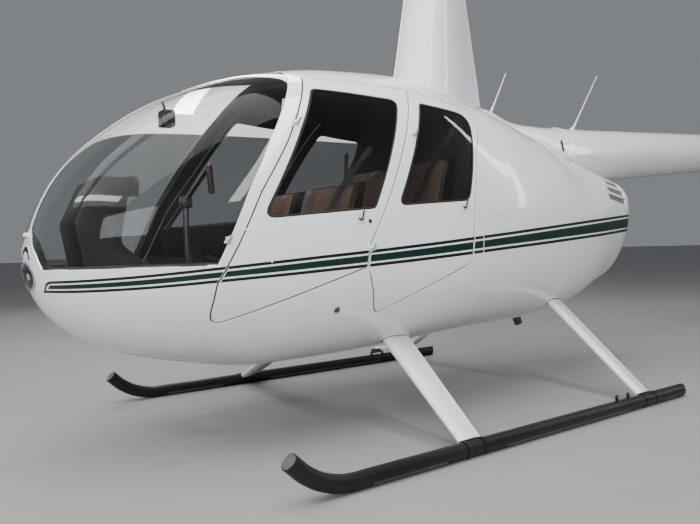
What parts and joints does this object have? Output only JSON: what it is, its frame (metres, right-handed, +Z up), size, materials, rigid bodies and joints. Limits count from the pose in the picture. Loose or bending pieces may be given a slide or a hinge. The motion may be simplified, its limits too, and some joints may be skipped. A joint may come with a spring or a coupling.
{
  "type": "light helicopter",
  "caption": "Light helicopter on skids with a see-through cabin, hinged doors, a teetering rotor on a tall faired mast, and a tail rotor on a long tail cone.",
  "frame": {"origin": "on the ground under the middle of the whole length, midway between the skids", "axes": "+Z up, -Y towards the nose, +X towards the port side"},
  "size_m": [2.184, 11.6468, 3.277],
  "materials": {
    "paint": "gloss white enamel",
    "glass": "clear, slightly smoked acrylic",
    "black": "satin black",
    "skid_paint": "satin black paint",
    "upholstery": "stitched leather",
    "trim": "carpet and cloth lining",
    "metal": "satin",
    "steel": "machined steel",
    "cast": "rough cast",
    "blade": "semi-gloss pale grey",
    "lens": "clear ribbed lens",
    "red_lens": "clear red"
  },
  "bodies": {
    "root": {"lower_tub": "paint", "cabin_frame": "paint", "aft_body": "paint", "cabin_floor": "trim", "firewall": "trim", "engine_block": "cast", "exhaust_pipe": "steel", "mast_fairing": "paint", "upper_cowl": "paint", "front_gear_legs": "paint", "rear_gear_legs": "paint", "instrument_console": "black", "cyclic_stick": "black", "pedals": "metal", "collective_lever": "black", "compass": "black", "landing_light": "lens", "swashplate": "metal", "tail_cone": "paint", "tail_gearbox": "metal", "upper_fin": "paint", "lower_fin": "paint", "stabiliser": "paint", "tail_guard": "paint", "beacon": "red_lens", "windshield_port": "glass", "skid_port": "skid_paint", "front_seat_port": "upholstery", "rear_seat_port": "upholstery", "windshield_starboard": "glass", "skid_starboard": "skid_paint", "front_seat_starboard": "upholstery", "rear_seat_starboard": "upholstery"},
    "main_rotor": {"rotor_mast": "steel", "rotor_hub": "metal", "main_blade_fore": "blade", "main_blade_aft": "blade"},
    "tail_rotor": {"tail_rotor_hub": "steel", "tail_blade_upper": "blade", "tail_blade_lower": "blade"},
    "port_front_door": {"front_door_port": "paint", "front_pane_port": "glass"},
    "port_rear_door": {"rear_door_port": "paint", "rear_pane_port": "glass"},
    "starboard_front_door": {"front_door_starboard": "paint", "front_pane_starboard": "glass"},
    "starboard_rear_door": {"rear_door_starboard": "paint", "rear_pane_starboard": "glass"}
  },
  "joints": [
    {"name": "main_rotor_spin", "type": "hinge", "parent": "root", "child": "main_rotor", "pos_m": [0, -0.79443, 3.19], "axis": [0, 0, 1], "continuous": true},
    {"name": "tail_rotor_spin", "type": "hinge", "parent": "root", "child": "tail_rotor", "pos_m": [0.285, 5.09857, 1.905], "axis": [1, 0, 0], "continuous": true},
    {"name": "port_front_door_swing", "type": "hinge", "parent": "root", "child": "port_front_door", "pos_m": [0.59, -2.51143, 0.9], "axis": [0.0274, -0.5696, -0.8215], "range_deg": [0, 70]},
    {"name": "port_rear_door_swing", "type": "hinge", "parent": "root", "child": "port_rear_door", "pos_m": [0.665, -1.81643, 0.86], "axis": [0.0901, -0.5015, -0.8605], "range_deg": [0, 70]},
    {"name": "starboard_front_door_swing", "type": "hinge", "parent": "root", "child": "starboard_front_door", "pos_m": [-0.59, -2.51143, 0.9], "axis": [0.0274, 0.5696, 0.8215], "range_deg": [0, 70]},
    {"name": "starboard_rear_door_swing", "type": "hinge", "parent": "root", "child": "starboard_rear_door", "pos_m": [-0.665, -1.81643, 0.86], "axis": [0.0901, 0.5015, 0.8605], "range_deg": [0, 70]}
  ],
  "couplings": [
    {"joint": "tail_rotor_spin", "follows": "main_rotor_spin", "ratio": -5.95}
  ]
}
